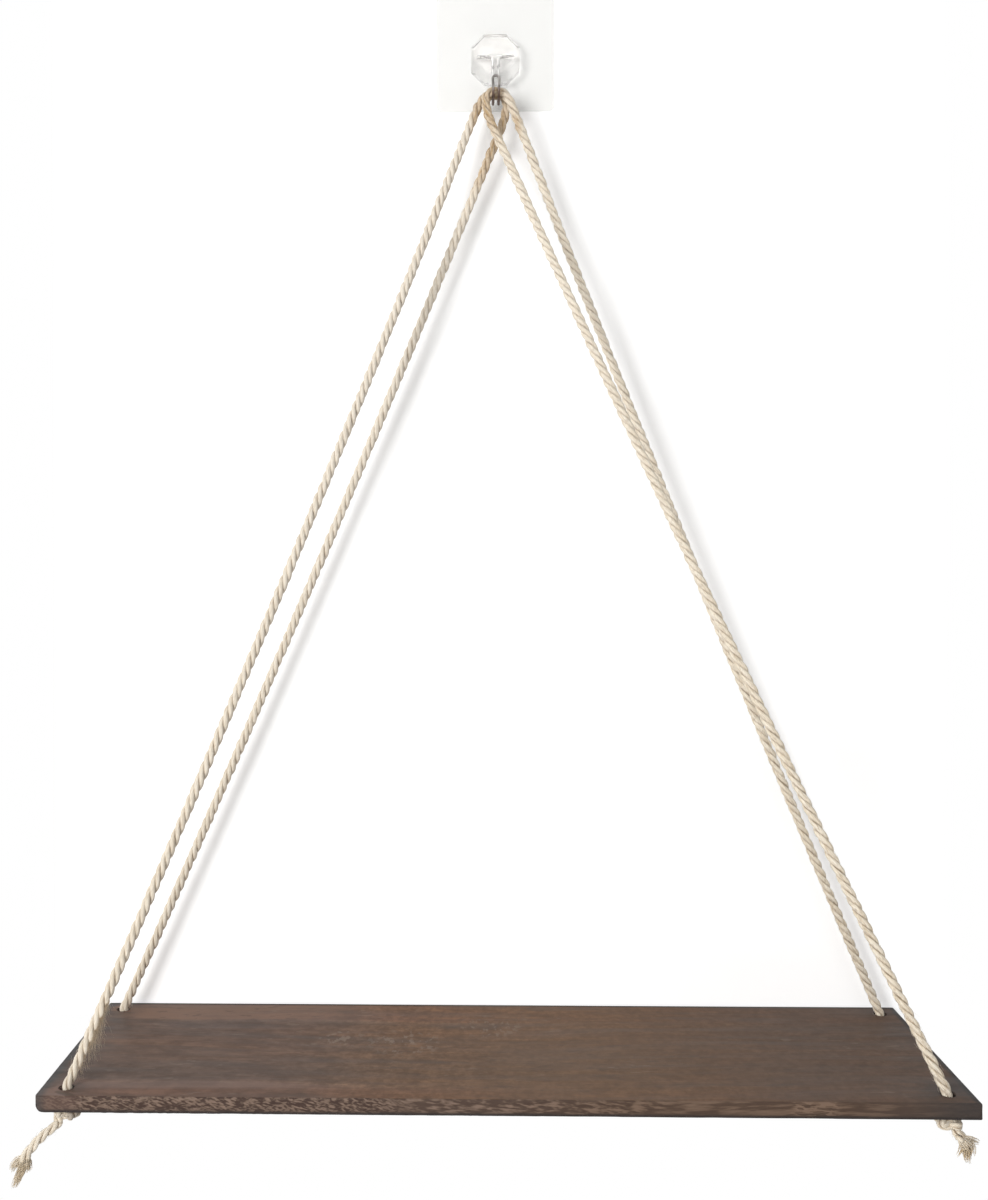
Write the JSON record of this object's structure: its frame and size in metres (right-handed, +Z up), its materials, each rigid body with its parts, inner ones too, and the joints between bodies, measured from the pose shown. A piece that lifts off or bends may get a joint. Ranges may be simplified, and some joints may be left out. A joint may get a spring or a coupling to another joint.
{
  "type": "hanging rope shelf",
  "caption": "Wooden board hung by two knotted ropes from one wire hook on a clear stick-on wall pad, free to sway sideways and to swing out from the wall.",
  "frame": {"origin": "centre of the adhesive pad's back face, on the wall plane", "axes": "+X to the right for someone facing the wall, +Y into the wall, +Z up"},
  "size_m": [0.4197, 0.1205, 0.56],
  "materials": {
    "adhesive": "translucent tacky layer",
    "clear_film": "clear smooth film",
    "clear_boss": "clear moulded plastic, polished",
    "steel_wire": "drawn stainless wire, satin",
    "board_wood": "charred and brushed softwood, dark grey-brown, rough front edge",
    "jute_rope": "three-strand twisted jute, hairy, frayed at its ends"
  },
  "bodies": {
    "wall_mount": {"adhesive_layer": "adhesive", "carrier_film": "clear_film", "hook_boss": "clear_boss"},
    "hook": {"wire_hook": "steel_wire"},
    "shelf": {"shelf_board": "board_wood", "left_rope_front_leg": "jute_rope", "left_rope_hook_bight": "jute_rope", "left_rope_back_leg": "jute_rope", "right_rope_back_leg": "jute_rope", "right_rope_hook_bight": "jute_rope", "right_rope_front_leg": "jute_rope", "front_left_knot": "jute_rope", "front_right_knot": "jute_rope", "back_left_knot": "jute_rope", "back_right_knot": "jute_rope", "front_left_tail": "jute_rope", "front_right_tail": "jute_rope", "back_left_tail": "jute_rope", "back_right_tail": "jute_rope"}
  },
  "joints": [
    {"name": "hook_swing_out", "type": "hinge", "parent": "wall_mount", "child": "hook", "pos_m": [0, -0.0052, -0.004], "axis": [-1, 0, 0], "range_deg": [0, 40]},
    {"name": "shelf_sway", "type": "hinge", "parent": "hook", "child": "shelf", "pos_m": [0, -0.0134, -0.029], "axis": [0, 1, 0], "range_deg": [-12, 12]}
  ]
}
